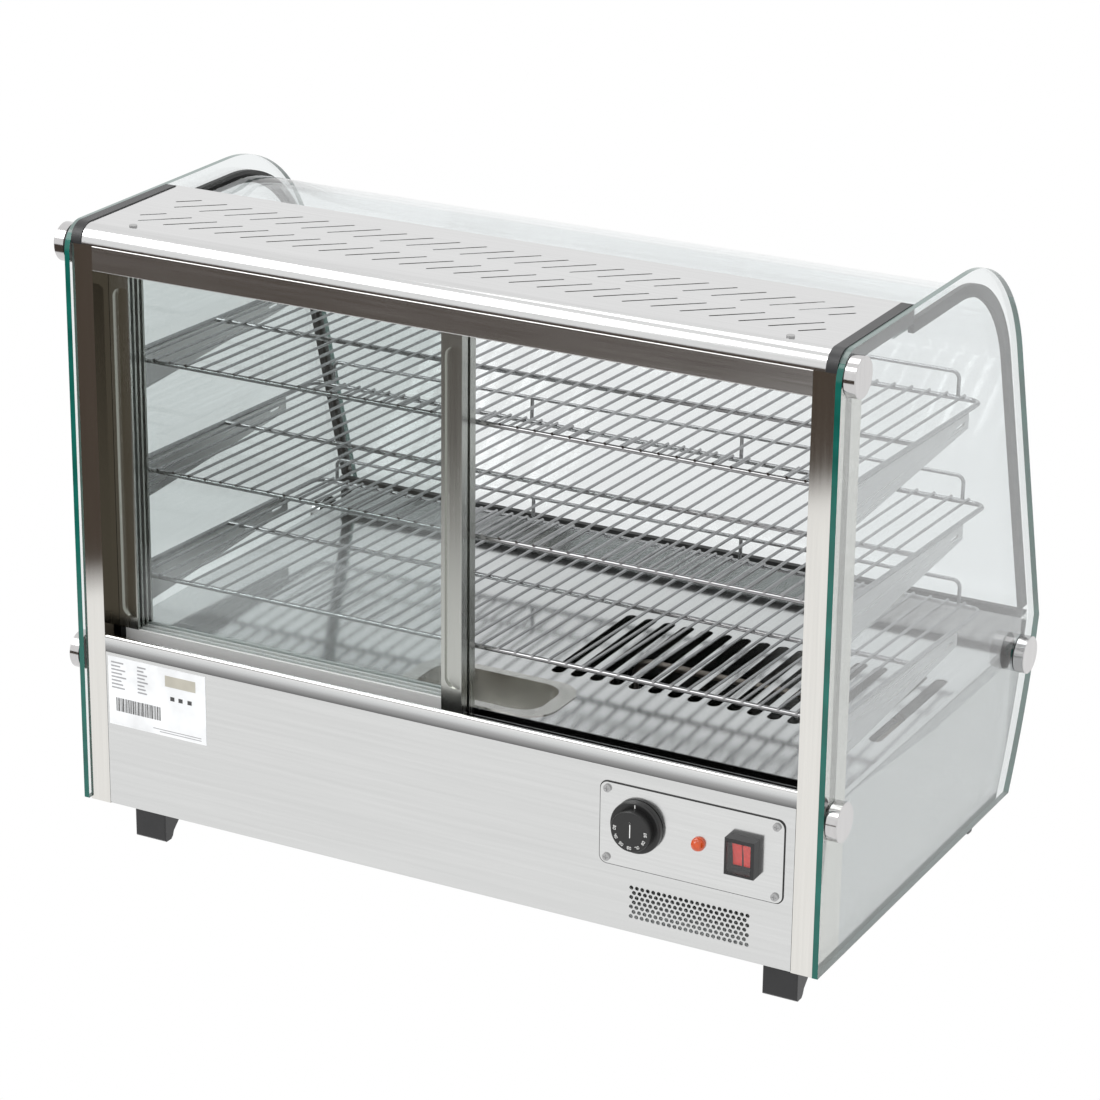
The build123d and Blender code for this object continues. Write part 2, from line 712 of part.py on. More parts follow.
# ---- controls -----------------------------------------------------------
def build_controls():
    bolts = [
        (PLATE_X + sx * (PLATE_W / 2 - 7.5), PLATE_Z + sz * (PLATE_H / 2 - 6.5))
        for sx in (-1, 1)
        for sz in (-1, 1)
    ]
    with BuildPart() as plate:
        with BuildSketch(Plane.XZ.offset(-REAR_Y)):
            with Locations((PLATE_X, PLATE_Z + FOOT_H)):
                RectangleRounded(PLATE_W, PLATE_H, 8.0)
            for bx, bz in bolts:
                with Locations((bx, bz + FOOT_H)):
                    Circle(2.2, mode=Mode.SUBTRACT)
            with Locations((KNOB_X, KNOB_Z + FOOT_H)):
                Circle(5.0, mode=Mode.SUBTRACT)
            with Locations((LAMP_X, PLATE_Z + FOOT_H)):
                Circle(6.0, mode=Mode.SUBTRACT)
            with Locations((SWITCH_X, PLATE_Z + FOOT_H)):
                Rectangle(27.0, 33.0, mode=Mode.SUBTRACT)
        extrude(amount=1.5)
    save(plate, "control_plate")

    with BuildPart() as screws:
        for bx, bz in bolts:
            rod_y(bx, -1.6, 0.0, bz, 2.0)
            rod_y(bx, -3.4, -1.6, bz, 4.0)
            slab(bx - 2.4, bx + 2.4, -3.6, -2.6, bz - 0.45, bz + 0.45, Mode.SUBTRACT)
            slab(bx - 0.45, bx + 0.45, -3.6, -2.6, bz - 2.4, bz + 2.4, Mode.SUBTRACT)
    save(screws, "plate_screws")

    with BuildPart() as thermostat:
        slab(KNOB_X - 16, KNOB_X + 16, 0.0, 26.0, KNOB_Z - 19, KNOB_Z + 15)
        rod_y(KNOB_X, -1.4, 0.0, KNOB_Z, 4.8)
        rod_y(KNOB_X, -4.0, 28.0, KNOB_Z, 3.1, Mode.SUBTRACT)
    save(thermostat, "thermostat_body")
    with BuildPart() as shaft:
        rod_y(KNOB_X, 3.0 - KNOB_OUT, 24.0, KNOB_Z, 3.05)
        slab(
            KNOB_X - 4, KNOB_X + 4, 2.5 - KNOB_OUT, -3.0, KNOB_Z + 1.6, KNOB_Z + 4, Mode.SUBTRACT
        )
    save(shaft, "thermostat_shaft")
    with BuildPart() as knob:
        # wide skirt behind a smaller dial, turned as one moulding
        skirt_y = -9.0
        rod_y(KNOB_X, skirt_y, -2.2, KNOB_Z, SKIRT_R)
        rod_y(KNOB_X, -KNOB_OUT, skirt_y, KNOB_Z, KNOB_R)
        rims = knob.edges().filter_by(GeomType.CIRCLE)
        fillet([e for e in rims if abs(e.center().Y - (REAR_Y - KNOB_OUT)) < 0.1], 1.2)
        rims = knob.edges().filter_by(GeomType.CIRCLE)
        skirt = [e for e in rims if abs(e.radius - SKIRT_R) < 0.1]
        fillet([e for e in skirt if e.center().Y < REAR_Y - 5.0], 2.0)
        # bore for the shaft
        rod_y(KNOB_X, 2.9 - KNOB_OUT, -2.0, KNOB_Z, 3.1, Mode.SUBTRACT)
    save(knob, "thermostat_knob")

    with BuildPart() as lamp:
        cy, cz = place(-3.5, PLATE_Z)
        with Locations((LAMP_X, cy, cz)):
            Sphere(6.6)
        slab(LAMP_X - 9, LAMP_X + 9, -1.5, 9.0, PLATE_Z - 9, PLATE_Z + 9, Mode.SUBTRACT)
        rod_y(LAMP_X, -3.5, -1.5, PLATE_Z, 7.0)
        rod_y(LAMP_X, -1.5, 22.0, PLATE_Z, 5.8)
    save(lamp, "pilot_lamp")

    sw, sh = 31.0, 38.0
    rocker_w, rocker_h = 9.4, 24.0
    with BuildPart() as housing:
        slab(
            SWITCH_X - sw / 2, SWITCH_X + sw / 2, -4.0, -1.5, PLATE_Z - sh / 2, PLATE_Z + sh / 2
        )
        slab(SWITCH_X - 13.3, SWITCH_X + 13.3, -1.5, 24.0, PLATE_Z - 16.3, PLATE_Z + 16.3)
        for s in (-1, 1):
            cx = SWITCH_X + s * 5.6
            slab(
                cx - rocker_w / 2 - 0.3,
                cx + rocker_w / 2 + 0.3,
                -5.0,
                9.0,
                PLATE_Z - rocker_h / 2 - 0.8,
                PLATE_Z + rocker_h / 2 + 0.8,
                Mode.SUBTRACT,
            )
    save(housing, "switch_housing")
    for s, name in ((-1, "left"), (1, "right")):
        cx = SWITCH_X + s * 5.6
        with BuildPart() as rocker:
            h = rocker_h / 2
            profile_x(
                cx - rocker_w / 2,
                cx + rocker_w / 2,
                (
                    (-6.4, PLATE_Z + h - 0.4),
                    (-4.2, PLATE_Z),
                    (-3.2, PLATE_Z - h + 0.4),
                    (2.0, PLATE_Z - h + 1.6),
                    (5.0, PLATE_Z - 2.5),
                    (5.0, PLATE_Z + 2.5),
                    (0.0, PLATE_Z + h - 1.2),
                ),
            )
        save(rocker, "rocker_" + name)
    with BuildPart() as hood:
        # clear splash cover over both rockers
        slab(
            SWITCH_X - sw / 2, SWITCH_X + sw / 2, -12.5, -4.0, PLATE_Z - sh / 2, PLATE_Z + sh / 2
        )
        fillet(hood.edges().filter_by(Axis.Y), 3.0)
        fillet(hood.faces().sort_by(Axis.Y)[0].edges(), 2.0)
        slab(
            SWITCH_X - sw / 2 + 1.2,
            SWITCH_X + sw / 2 - 1.2,
            -11.5,
            -3.0,
            PLATE_Z - sh / 2 + 1.2,
            PLATE_Z + sh / 2 - 1.2,
            Mode.SUBTRACT,
        )
    save(hood, "switch_hood")


# ---- small parts --------------------------------------------------------
def build_small():
    side_view = (
        (0.0, 0.0),
        (40.0, 0.0),
        (40.0, -7.0),
        (34.0, -9.0),
        (16.0, -25.0),
        (14.0, 3.0 - FOOT_H),
        (11.0, -FOOT_H),
        (2.0, -FOOT_H),
        (0.0, 2.0 - FOOT_H),
    )
    for xc, nx in ((-FOOT_X_LEFT, "left"), (FOOT_X_RIGHT, "right")):
        for y0, way, ny in ((5.0, 1, "rear"), (BASE_TOE - 16.0, -1, "front")):
            with BuildPart() as foot:
                profile_x(
                    xc - FOOT_W / 2,
                    xc + FOOT_W / 2,
                    [(y0 + way * y, z) for y, z in side_view],
                )
                fillet(foot.edges().filter_by(Axis.Z), 1.5)
            save(foot, "foot_" + ny + "_" + nx)

    with BuildPart() as label:
        slab(-388.0, -269.0, -0.4, 0.0, 92.0, 168.0)
    save(label, "rating_label")

    with BuildPart() as element:
        # hairpin under the hot air slots, its cold ends bent down to the pan
        y0, z0 = place(198.0, 1.6)
        y1, z1 = place(318.0, DECK_Z - 34.0)
        with BuildLine():
            FilletPolyline(
                (60, y0, z0),
                (60, y0, z1),
                (370, y0, z1),
                (370, y1, z1),
                (60, y1, z1),
                (60, y1, z0),
                radius=20.0,
            )
        with BuildSketch(Plane((60, y0, z0))):
            Circle(4.0)
        sweep()
        for y in (198.0, 318.0):
            rod_z(60, y, 1.6, 4.0, 12.0)
    save(element, "heating_element")
    with BuildPart() as gland:
        rod_z(-300.0, 380.0, -14.0, 12.0, 10.8)
        rod_z(-300.0, 380.0, -6.0, -0.1, 14.0)
        rod_z(-300.0, 380.0, 1.6, 7.0, 14.0)
        rod_z(-300.0, 380.0, -15.0, 13.0, 4.5, Mode.SUBTRACT)
    save(gland, "cable_gland")


def main():
    os.makedirs("parts", exist_ok=True)
    build_base()
    build_deck()
    build_tray()
    build_frame()
    build_cover()
    build_glass()
    build_door("outer_door", DOOR_Y)
    build_door("inner_door", DOOR_Y + DOOR_PITCH)
    for name, z, y0, depth in SHELF_SPEC:
        build_shelf(name, z, y0, depth)
        build_brackets(name, z, y0)
    build_controls()
    build_small()


main()
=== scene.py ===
import math

import bpy
from mathutils import Matrix, Vector


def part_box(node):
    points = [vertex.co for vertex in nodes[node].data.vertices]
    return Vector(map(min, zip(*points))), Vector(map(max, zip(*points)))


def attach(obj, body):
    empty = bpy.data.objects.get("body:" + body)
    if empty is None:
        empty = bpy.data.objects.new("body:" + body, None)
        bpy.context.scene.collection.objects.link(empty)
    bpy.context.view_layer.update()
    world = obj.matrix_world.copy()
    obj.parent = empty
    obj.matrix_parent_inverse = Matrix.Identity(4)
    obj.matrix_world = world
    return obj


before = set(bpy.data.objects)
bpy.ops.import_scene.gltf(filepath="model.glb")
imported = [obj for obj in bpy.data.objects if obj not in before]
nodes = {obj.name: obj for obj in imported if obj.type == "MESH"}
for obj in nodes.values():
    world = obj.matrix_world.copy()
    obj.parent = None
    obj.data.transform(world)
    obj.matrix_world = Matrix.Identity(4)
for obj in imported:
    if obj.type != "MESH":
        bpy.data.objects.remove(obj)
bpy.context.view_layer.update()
scene = bpy.context.scene


# ---------------------------------------------------------------- materials
FACING = 0.7  # a normal past this points along the axis
GLASS_IOR = 1.5


class Graph:
    """A short way to write a node tree."""

    def __init__(self, name):
        self.mat = bpy.data.materials.new(name)
        self.mat.use_nodes = True
        self.tree = self.mat.node_tree
        self.tree.nodes.clear()
        self.out = self.add("ShaderNodeOutputMaterial")

    def add(self, kind, **values):
        n = self.tree.nodes.new(kind)
        for key, value in values.items():
            if key in n.inputs:
                self.put(n.inputs[key], value)
            else:
                setattr(n, key, value)
        return n

    def put(self, socket, value):
        if isinstance(value, bpy.types.NodeSocket):
            self.tree.links.new(value, socket)
        else:
            socket.default_value = value

    def math(self, op, a, b=0.0):
        n = self.tree.nodes.new("ShaderNodeMath")
        n.operation = op
        self.put(n.inputs[0], a)
        self.put(n.inputs[1], b)
        return n.outputs[0]

    def where(self):
        return self.tree.nodes.new("ShaderNodeTexCoord").outputs["Object"]

    def stretched(self, scale):
        m = self.tree.nodes.new("ShaderNodeMapping")
        self.put(m.inputs["Vector"], self.where())
        m.inputs["Scale"].default_value = scale
        return m.outputs[0]

    def noise(self, vector, scale, detail=2.0, rough=0.5):
        n = self.tree.nodes.new("ShaderNodeTexNoise")
        self.put(n.inputs["Vector"], vector)
        n.inputs["Scale"].default_value = scale
        n.inputs["Detail"].default_value = detail
        n.inputs["Roughness"].default_value = rough
        return n.outputs["Fac"]

    def ramp(self, fac, stops):
        n = self.tree.nodes.new("ShaderNodeValToRGB")
        self.put(n.inputs["Fac"], fac)
        e = n.color_ramp.elements
        while len(e) < len(stops):
            e.new(0.5)
        for item, (at, colour) in zip(e, stops):
            item.position = at
            item.color = tuple(colour) + (1.0,) if len(colour) == 3 else colour
        return n.outputs["Color"]

    def mapped(self, value, **ends):
        n = self.tree.nodes.new("ShaderNodeMapRange")
        self.put(n.inputs["Value"], value)
        for key, end in ends.items():
            n.inputs[key.replace("_", " ")].default_value = end
        return n.outputs["Result"]

    def between(self, fac, low, high):
        return self.mapped(fac, To_Min=low, To_Max=high)

    def tint(self, fac, first, second):
        n = self.add("ShaderNodeMix", data_type="RGBA")
        self.put(n.inputs["Factor"], fac)
        self.put(n.inputs["A"], first)
        self.put(n.inputs["B"], second)
        return n.outputs["Result"]

    def blend(self, fac, first, second):
        n = self.add("ShaderNodeMixShader")
        for socket, value in zip(n.inputs, (fac, first.outputs[0], second.outputs[0])):
            self.put(socket, value)
        return n

    def bump(self, height, strength, distance):
        n = self.tree.nodes.new("ShaderNodeBump")
        self.put(n.inputs["Height"], height)
        n.inputs["Strength"].default_value = strength
        n.inputs["Distance"].default_value = distance
        return n.outputs["Normal"]

    def surface(self, socket):
        self.tree.links.new(socket, self.out.inputs["Surface"])
        return self.mat


def metal(name, colour, rough, grain, grain_scale, spread, bump):
    """Sheet metal. Grain is a stretch that turns noise into brush lines."""
    g = Graph(name)
    lines = g.noise(g.stretched(grain), grain_scale, 4.0, 0.6)
    patches = g.noise(g.where(), 5.0, 2.0)
    low = tuple(c * 0.93 for c in colour)
    tone = g.ramp(lines, [(0.3, low), (0.7, colour)])
    shine = g.math("ADD", g.between(lines, rough - spread / 2, rough + spread / 2),
                   g.between(patches, -spread / 4, spread / 4))
    p = g.add("ShaderNodeBsdfPrincipled", **{
        "Base Color": tone, "Metallic": 1.0, "Roughness": shine,
        "Normal": g.bump(lines, bump, 0.0004)})
    return g.surface(p.outputs[0])


def post_metal(name, colour, rough):
    """Post steel with painted shade: its faces towards the doors are coloured dark brown."""
    g = Graph(name)
    lines = g.noise(g.stretched((1.0, 1.0, 0.02)), 260.0, 4.0, 0.6)
    here = g.add("ShaderNodeSeparateXYZ", Vector=g.where())
    face = g.add("ShaderNodeSeparateXYZ",
                 Vector=g.add("ShaderNodeNewGeometry").outputs["True Normal"])
    inward = g.math("MULTIPLY", g.math("SIGN", here.outputs["X"]), face.outputs["X"])
    brushed = g.ramp(lines, [(0.3, tuple(c * 0.94 for c in colour)), (0.7, colour)])
    # painted shade: faces towards the doors get a dark brown colour in place of their shade
    tone = g.tint(g.math("LESS_THAN", inward, -FACING), brushed, (0.10, 0.082, 0.058, 1))
    p = g.add("ShaderNodeBsdfPrincipled", **{
        "Base Color": tone, "Metallic": 1.0,
        "Roughness": g.between(lines, rough - 0.03, rough + 0.03)})
    return g.surface(p.outputs[0])


def plastic(name, colour, rough, grit, bump):
    g = Graph(name)
    grain = g.noise(g.where(), grit, 3.0, 0.6)
    wear = g.noise(g.where(), 18.0, 3.0, 0.6)
    light = tuple(min(1.0, c * 1.35 + 0.004) for c in colour)
    tone = g.ramp(wear, [(0.35, colour), (0.75, light)])
    p = g.add("ShaderNodeBsdfPrincipled", **{
        "Base Color": tone, "Roughness": g.between(grain, rough - 0.06, rough + 0.08),
        "Normal": g.bump(grain, bump, 0.0003)})
    return g.surface(p.outputs[0])


def pane(name, tint, edge, axis, edge_test="LESS_THAN"):
    """Float glass: clear with a Fresnel mirror on the faces, deep green in the cut edges.
    axis and edge_test say which part of the normal tells an edge from a face."""
    g = Graph(name)
    geo = g.add("ShaderNodeNewGeometry")
    split = g.add("ShaderNodeSeparateXYZ", Vector=geo.outputs["True Normal"])
    is_edge = g.math(edge_test, g.math("ABSOLUTE", split.outputs[axis]), FACING)
    smear = g.noise(g.where(), 7.0, 3.0, 0.6)
    clear = g.add("ShaderNodeBsdfTransparent", Color=g.ramp(
        smear, [(0.3, tint), (0.8, tuple(min(1.0, c + 0.012) for c in tint))]))
    shiny = g.add("ShaderNodeBsdfGlossy", Color=(1, 1, 1, 1), Roughness=0.0)
    inward = g.between(geo.outputs["Backfacing"], GLASS_IOR, 1 / GLASS_IOR)
    fresnel = g.add("ShaderNodeFresnel", IOR=inward)
    face = g.blend(fresnel.outputs[0], clear, shiny)
    # upright edges show the depth of the pane, level ones only its rim
    streak = g.noise(g.where(), 30.0, 2.0)
    upright = g.math("GREATER_THAN", g.math("ABSOLUTE", split.outputs["Y"]), 0.75)
    green = g.ramp(streak, [(0.3, tuple(c * 0.6 for c in edge)), (0.75, edge)])
    deep = g.add("ShaderNodeBsdfPrincipled", **{
        "Base Color": g.tint(upright, (0.13, 0.17, 0.16, 1), green),
        "Roughness": g.between(streak, 0.08, 0.2)})
    return g.surface(g.blend(is_edge, face, deep).outputs[0])


def lens(name, colour, glow):
    """Tinted translucent plastic with a lamp behind it."""
    g = Graph(name)
    cells = g.noise(g.where(), 260.0, 2.0)
    tone = g.ramp(cells, [(0.3, tuple(c * 0.7 for c in colour)), (0.7, colour)])
    p = g.add("ShaderNodeBsdfPrincipled", **{
        "Base Color": tone, "Roughness": g.between(cells, 0.1, 0.22), "Coat Weight": 0.4,
        "Emission Color": tuple(colour) + (1,), "Emission Strength": glow})
    return g.surface(p.outputs[0])


def dress(material, *names):
    for n in names:
        data = nodes[n].data
        data.materials.clear()
        data.materials.append(material)


along_x = (0.02, 1.0, 1.0)
along_y = (1.0, 0.02, 1.0)
along_z = (1.0, 1.0, 0.02)
bright = (0.70, 0.705, 0.70)
panel_steel = metal("panel_steel", bright, 0.16, along_x, 220.0, 0.03, 0.003)
post_steel = post_metal("post_steel", (0.78, 0.765, 0.73), 0.08)
deck_steel = metal("deck_steel", (0.66, 0.665, 0.665), 0.10, along_y, 200.0, 0.03, 0.004)
rail_steel = metal("rail_steel", (0.66, 0.65, 0.64), 0.22, along_x, 320.0, 0.10, 0.03)
cover_steel = metal("cover_steel", (0.70, 0.70, 0.70), 0.12, along_x, 380.0, 0.05, 0.01)
plate_steel = metal("plate_steel", (0.72, 0.725, 0.72), 0.16, along_x, 420.0, 0.04, 0.004)
bracket_steel = metal("bracket_steel", (0.50, 0.50, 0.50), 0.28, along_y, 300.0, 0.08, 0.03)
tray_steel = metal("tray_steel", (0.66, 0.65, 0.62), 0.18, (1, 1, 1), 60.0, 0.06, 0.02)
wire_chrome = metal("wire_chrome", (0.36, 0.36, 0.365), 0.10, (1, 1, 1), 90.0, 0.06, 0.02)
cap_steel = metal("cap_steel", (0.62, 0.61, 0.61), 0.12, (1, 1, 0.05), 300.0, 0.08, 0.03)
screw_steel = metal("screw_steel", (0.45, 0.45, 0.45), 0.20, (1, 1, 1), 500.0, 0.1, 0.05)
door_alu = metal("door_alu", (0.52, 0.53, 0.50), 0.26, along_z, 340.0, 0.08, 0.03)
hot_steel = metal("hot_steel", (0.30, 0.27, 0.24), 0.35, (1, 1, 1), 60.0, 0.1, 0.1)

# the bottom rails are satin anodised, and the sill has painted shade, darker towards the seam
g = Graph("door_alu_x")
lines = g.noise(g.stretched(along_x), 340.0, 3.0)
p = g.add("ShaderNodeBsdfPrincipled", **{
    "Base Color": g.ramp(lines, [(0.3, (0.74, 0.74, 0.73)), (0.7, (0.80, 0.80, 0.79))]),
    "Metallic": 0.25, "Roughness": g.between(lines, 0.3, 0.4)})
door_alu_x = g.surface(p.outputs[0])

g = Graph("sill_steel")
lines = g.noise(g.stretched(along_x), 300.0, 3.0)
here = g.add("ShaderNodeSeparateXYZ", Vector=g.where())
# painted shade: the sill colour darkens with height towards the seam at its foot
seam_shade = g.mapped(here.outputs["Z"], From_Min=0.205, From_Max=0.222)
tone = g.ramp(g.math("ADD", seam_shade, g.between(lines, -0.04, 0.04)),
              [(0.0, (0.16, 0.16, 0.16)), (0.35, (0.36, 0.36, 0.36)),
               (0.6, (0.60, 0.61, 0.61)), (1.0, (0.82, 0.82, 0.81))])
p = g.add("ShaderNodeBsdfPrincipled", **{
    "Base Color": tone, "Metallic": 1.0, "Roughness": g.between(lines, 0.14, 0.2)})
sill_steel = g.surface(p.outputs[0])

black_moulded = plastic("black_moulded", (0.012, 0.012, 0.013), 0.38, 700.0, 0.25)
black_rubber = plastic("black_rubber", (0.010, 0.010, 0.010), 0.55, 500.0, 0.2)
knob_black = plastic("knob_black", (0.008, 0.008, 0.008), 0.30, 900.0, 0.12)
white_print = plastic("white_print", (0.80, 0.80, 0.78), 0.45, 600.0, 0.05)

side_pane = pane("side_glass", (0.925, 0.938, 0.940), (0.004, 0.135, 0.105), "X")
front_pane = pane("front_glass", (0.925, 0.938, 0.940), (0.004, 0.135, 0.105), "X",
                  "GREATER_THAN")
door_pane = pane("door_glass", (0.930, 0.945, 0.943), (0.02, 0.18, 0.14), "Y")
hood_pane = pane("hood_plastic", (0.90, 0.90, 0.90), (0.5, 0.5, 0.5), "Y")

dress(panel_steel, "rear_panel", "base_side_left", "base_side_right", "base_front_panel",
      "base_pan")
dress(sill_steel, "door_sill")
dress(post_steel, "rear_post_left", "rear_post_right")
dress(deck_steel, "deck_plate")
dress(rail_steel, "top_rail", "ceiling_plate")
dress(cover_steel, "top_cover")
dress(plate_steel, "control_plate")
dress(bracket_steel, "brackets_top", "brackets_middle", "brackets_lower")
dress(tray_steel, "water_tray")
dress(wire_chrome, "shelf_top", "shelf_middle", "shelf_lower")
dress(cap_steel, "fixing_caps")
dress(screw_steel, "cover_screws", "plate_screws", "thermostat_shaft")
dress(hot_steel, "heating_element")
dress(black_rubber, "fixing_washers", "glass_gasket_left", "glass_gasket_right",
      "front_seat_strip")
dress(black_moulded, "cover_trim_left", "cover_trim_right", "foot_rear_left",
      "foot_rear_right", "foot_front_left", "foot_front_right", "outer_door_glides",
      "inner_door_glides", "thermostat_body", "switch_housing", "cable_gland")
dress(knob_black, "thermostat_knob")
dress(side_pane, "side_glass_left", "side_glass_right")
dress(front_pane, "front_glass")
dress(door_pane, "outer_door_glass", "inner_door_glass")
dress(hood_pane, "switch_hood")
dress(lens("amber_lens", (0.62, 0.075, 0.008), 0.12), "pilot_lamp")
dress(lens("red_rocker", (0.80, 0.04, 0.03), 0.30), "rocker_left", "rocker_right")
dress(lens("frosted_lamp", (0.9, 0.88, 0.82), 0.0), "lamp_tube")
dress(plastic("label_foil", (0.72, 0.73, 0.74), 0.35, 500.0, 0.03), "rating_label")
for door in ("outer_door", "inner_door"):
    dress(door_alu, door + "_stile_left", door + "_stile_right")
    dress(door_alu_x, door + "_rail_top", door + "_rail_bottom")


# ---------------------------------------------------------------- small details
# Details are drawn in millimetres of the case: x from its middle, y from the rear
# face, z from the lower edge of the casing.
FOOT = 0.033
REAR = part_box("rear_panel")[0][1]


def middle(node):
    """Centre of a node in the rear view, in millimetres of the case."""
    low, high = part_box(node)
    return (low[0] + high[0]) * 500, ((low[2] + high[2]) / 2 - FOOT) * 1000


def build(name, verts, faces, material, body):
    mesh = bpy.data.meshes.new(name)
    mesh.from_pydata(verts, [], faces)
    mesh.materials.append(material)
    obj = bpy.data.objects.new(name, mesh)
    scene.collection.objects.link(obj)
    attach(obj, body)
    return obj


BOX_FACES = ((0, 1, 2, 3), (7, 6, 5, 4), (0, 4, 5, 1), (1, 5, 6, 2), (2, 6, 7, 3), (3, 7, 4, 0))


def box_mesh(verts, faces, x0, x1, y0, y1, z0, z1, turn=0.0, hub=(0.0, 0.0)):
    """A box in millimetres of the case, turned in the plane of the rear face."""
    c, sn = math.cos(turn), math.sin(turn)
    base = len(verts)
    for y in (y0, y1):
        for x, z in ((x0, z0), (x1, z0), (x1, z1), (x0, z1)):
            u, v = x - hub[0], z - hub[1]
            verts.append(((hub[0] + u * c - v * sn) / 1000, REAR + y / 1000,
                          (hub[1] + u * sn + v * c) / 1000 + FOOT))
    for f in BOX_FACES:
        faces.append(tuple(base + i for i in f))


def boxes(name, items, material, body):
    verts, faces = [], []
    for item in items:
        box_mesh(verts, faces, *item)
    return build(name, verts, faces, material, body)


# seven-stroke digits for the scale of the thermostat
STROKES = {"a": (0, 1, 1, 1), "b": (1, 0.5, 1, 1), "c": (1, 0, 1, 0.5), "d": (0, 0, 1, 0),
           "e": (0, 0, 0, 0.5), "f": (0, 0.5, 0, 1), "g": (0, 0.5, 1, 0.5)}
DIGITS = {"0": "abcdef", "1": "bc", "2": "abged", "3": "abgcd", "4": "fgbc", "5": "afgcd",
          "6": "afgedc", "7": "abc", "8": "abcdefg", "9": "abcdfg"}
DIGIT_H, DIGIT_W, STROKE = 2.6, 1.5, 0.28
DIGIT_PITCH = 2.5
SCALE_R = 16.6  # the numbers stand on this circle
SCALE_START, SCALE_STEP = -96.0, 31.5

knob = middle("thermostat_knob")
knob_face = (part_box("thermostat_knob")[0][1] - REAR) * 1000
print_y = (knob_face - 0.12, knob_face + 0.1)
marks = []


def digit(ch, ox, oz, turn):
    for k in DIGITS[ch]:
        u0, v0, u1, v1 = STROKES[k]
        x0, x1 = sorted((ox + (u0 - 0.5) * DIGIT_W, ox + (u1 - 0.5) * DIGIT_W))
        z0, z1 = sorted((oz + (v0 - 0.5) * DIGIT_H, oz + (v1 - 0.5) * DIGIT_H))
        marks.append((x0 - STROKE, x1 + STROKE, *print_y, z0 - STROKE, z1 + STROKE, turn, knob))


for step, text in enumerate(("30", "40", "50", "60", "70", "80", "90")):
    around = math.radians(SCALE_START + step * SCALE_STEP)
    for i, ch in enumerate(text):
        digit(ch, knob[0] + (i - 0.5) * DIGIT_PITCH, knob[1] - SCALE_R, around)
# pointer line with a small ring at its head, and the tick on the skirt
kx, kz = knob
marks.append((kx - 0.45, kx + 0.45, *print_y, kz - 6, kz + 8))
for i in range(10):
    marks.append((kx - 0.5, kx + 0.5, *print_y, kz + 9.0, kz + 9.6, i * math.pi / 5,
                  (kx, kz + 9.6)))
marks.append((kx - 0.5, kx + 0.5, -9.15, -8.6, kz + 21.3, kz + 24.6))
boxes("knob_marks", marks, white_print, "knob")

# dark line where the control plate meets the panel
cx, cz = middle("control_plate")
low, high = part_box("control_plate")
w, h = (high[0] - low[0]) * 500, (high[2] - low[2]) * 500
r = 8.0
outline = []
for qx, qz, a0 in ((1, 1, 0), (-1, 1, 90), (-1, -1, 180), (1, -1, 270)):
    for k in range(7):
        a = math.radians(a0 + 15 * k)
        outline.append((qx * (w - r) + r * math.cos(a), qz * (h - r) + r * math.sin(a)))
verts, faces = [], []
for grow, y in ((0.0, -0.9), (0.9, -0.9), (0.9, -0.05), (0.0, -0.05)):
    for u, v in outline:
        verts.append(((cx + u * (1 + grow / w)) / 1000, REAR + y / 1000,
                      (cz + v * (1 + grow / h)) / 1000 + FOOT))
m = len(outline)
for ring in range(4):
    for i in range(m):
        j = (i + 1) % m
        nxt = (ring + 1) % 4
        faces.append((ring * m + i, ring * m + j, nxt * m + j, nxt * m + i))
build("plate_seal", verts, faces, black_rubber, "cabinet")

# black frame round the clear window of the switch cover
sx, sz = middle("switch_housing")
bezel_y = (-12.7, -1.6)
boxes("switch_bezel", [
    (sx - 15.6, sx + 15.6, *bezel_y, sz + 15.2, sz + 19.1),
    (sx - 15.6, sx + 15.6, *bezel_y, sz - 19.1, sz - 16.6),
    (sx + 11.8, sx + 15.6, *bezel_y, sz - 16.6, sz + 15.2),
    (sx - 15.6, sx - 13.6, *bezel_y, sz - 16.6, sz + 15.2)],
    black_moulded, "cabinet")

# plain print on the rating label: rows of dashes, a bar block and an empty patch
ink = plastic("label_ink", (0.05, 0.05, 0.05), 0.5, 500.0, 0.02)
grey_ink = plastic("grey_ink", (0.30, 0.30, 0.31), 0.5, 500.0, 0.02)
patch = plastic("label_patch", (0.42, 0.40, 0.34), 0.4, 500.0, 0.02)
ink_y = (-0.55, -0.35)
rows, bars = [], []
for k, wide in enumerate((15, 11, 17, 13, 18, 12, 14, 16)):
    z = 162.0 - k * 4.0
    rows.append((-384.0, -384.0 + wide, *ink_y, z - 0.8, z + 0.8))
    rows.append((-352.0, -352.0 + wide * 0.7, *ink_y, z - 0.8, z + 0.8))
rows.append((-334.0, -275.0, *ink_y, 98.0, 98.8))
rows.append((-326.0, -275.0, *ink_y, 95.4, 96.2))
x = -379.0
k = 0
while x < -325.0:
    wide = (0.9, 0.5, 1.3, 0.6, 0.9, 1.5, 0.5)[k % 7]
    bars.append((x, x + wide, *ink_y, 108.0, 123.0))
    x += wide + (0.8, 0.6, 1.0)[k % 3]
    k += 1
for a in (-312.0, -302.0, -291.0):
    bars.append((a, a + 5.0, *ink_y, 133.0, 137.5))
boxes("label_rows", rows, grey_ink, "cabinet")
boxes("label_bars", bars, ink, "cabinet")
boxes("label_patch", [(-318.0, -281.0, *ink_y, 148.0, 160.0)], patch, "cabinet")


# ---------------------------------------------------------------- the studio
def plane(name, size, place, material, turn=(0, 0, 0)):
    mesh = bpy.data.meshes.new(name)
    w, d = size[0] / 2, size[1] / 2
    mesh.from_pydata([(-w, -d, 0), (w, -d, 0), (w, d, 0), (-w, d, 0)], [], [(0, 1, 2, 3)])
    obj = bpy.data.objects.new(name, mesh)
    scene.collection.objects.link(obj)
    obj.location = place
    obj.rotation_euler = turn
    mesh.materials.append(material)
    return obj


g = Graph("studio_floor")
white = g.add("ShaderNodeEmission", Color=(1, 1, 1, 1), Strength=1.0)
plane("floor", (60, 60), (0, 0, 0), g.surface(white.outputs[0]))

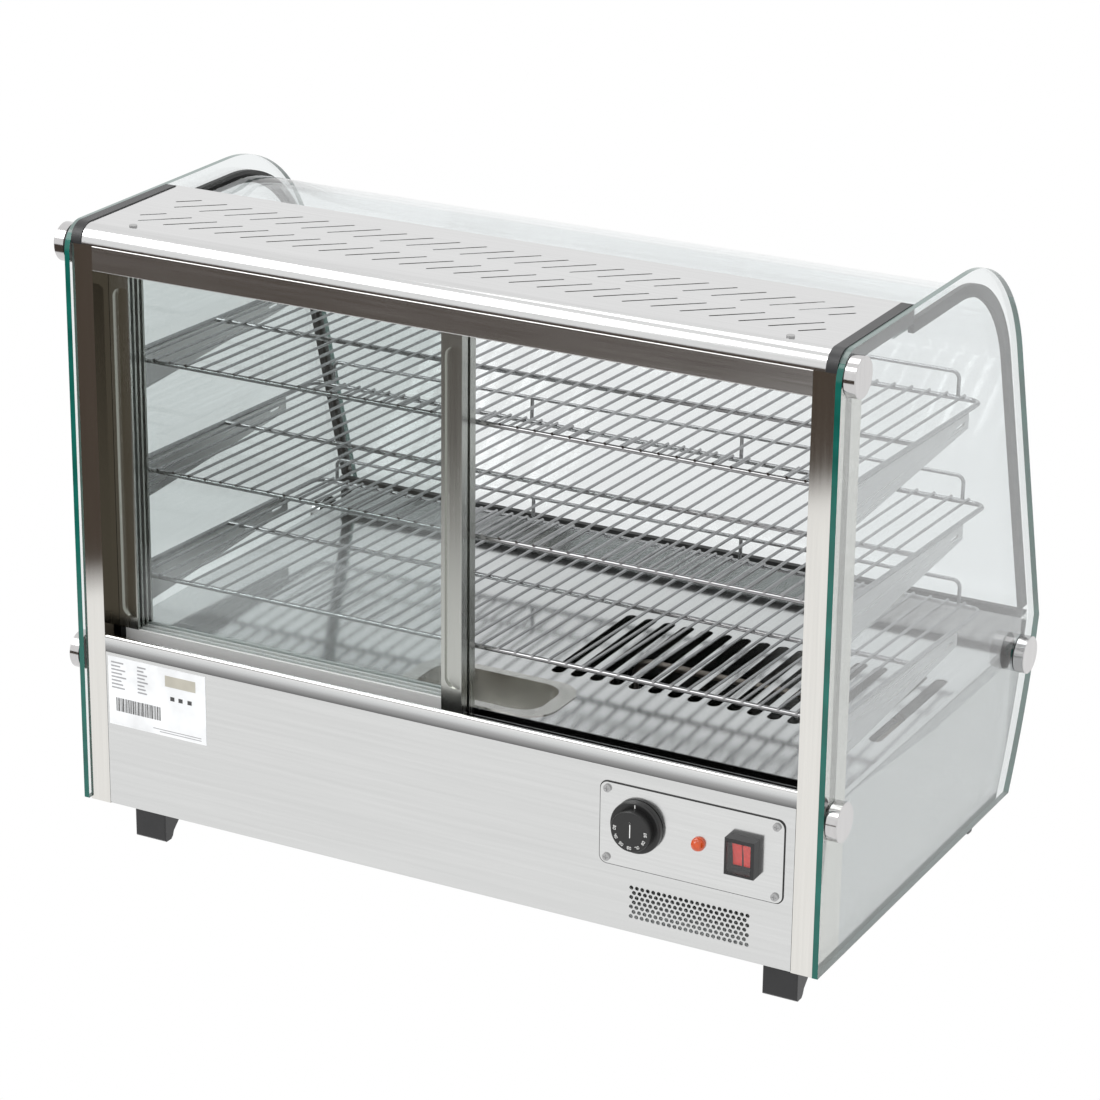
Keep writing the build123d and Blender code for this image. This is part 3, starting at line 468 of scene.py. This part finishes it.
# a dark flag behind the camera, seen only in the polish of the metal
g = Graph("studio_flag")
split = g.add("ShaderNodeSeparateXYZ", Vector=g.where())
fade = g.mapped(split.outputs["Y"], From_Min=2.5, From_Max=2.38)
dark = g.add("ShaderNodeEmission", Color=(0.075, 0.058, 0.046, 1), Strength=1.0)
open_ = g.add("ShaderNodeBsdfTransparent")
mix = g.blend(fade, open_, dark)
# its near edge crosses the floor from (-0.75, -0.75) to (-0.13, -1.47)
flag = plane("flag", (12, 5), (-2.38, -2.77, 0.004), g.surface(mix.outputs[0]),
             (0, 0, math.radians(-49.2)))
flag.visible_camera = False
flag.visible_diffuse = False
flag.visible_shadow = False
flag.visible_transmission = False


def lamp(name, place, aim, size, power):
    data = bpy.data.lights.new(name, "AREA")
    data.shape = "RECTANGLE"
    data.size, data.size_y = size
    data.energy = power
    obj = bpy.data.objects.new(name, data)
    scene.collection.objects.link(obj)
    obj.location = place
    way = Vector(aim) - Vector(place)
    obj.rotation_euler = way.to_track_quat("-Z", "Y").to_euler()


lamp("key", (-2.2, -2.4, 3.2), (0, 0, 0.2), (2.4, 2.4), 70)
lamp("top", (0.4, 0.6, 3.4), (0, 0, 0.3), (3.0, 3.0), 60)

world = bpy.data.worlds.new("studio")
scene.world = world
world.use_nodes = True
back = world.node_tree.nodes["Background"]
back.inputs["Color"].default_value = (1.0, 1.0, 1.0, 1)
back.inputs["Strength"].default_value = 1.0

# ---------------------------------------------------------------- the camera
cam_data = bpy.data.cameras.new("camera")
cam = bpy.data.objects.new("camera", cam_data)
scene.collection.objects.link(cam)
scene.camera = cam
cam_data.sensor_width = 36.0
cam_data.lens = 122.235
cam_data.clip_start = 0.05
cam_data.clip_end = 100.0
turn = Vector((1.889, 0.48193, -0.31675))
to_cam = Matrix.Rotation(turn.length, 3, turn.normalized())
cam_axes = to_cam.transposed() @ Matrix.Diagonal((1, -1, -1))
cam.matrix_world = Matrix.Translation((1.6786, -3.1864, 1.6818)) @ cam_axes.to_4x4()

scene.view_settings.view_transform = "Standard"
scene.cycles.max_bounces = 14
scene.cycles.glossy_bounces = 8
scene.cycles.transparent_max_bounces = 32
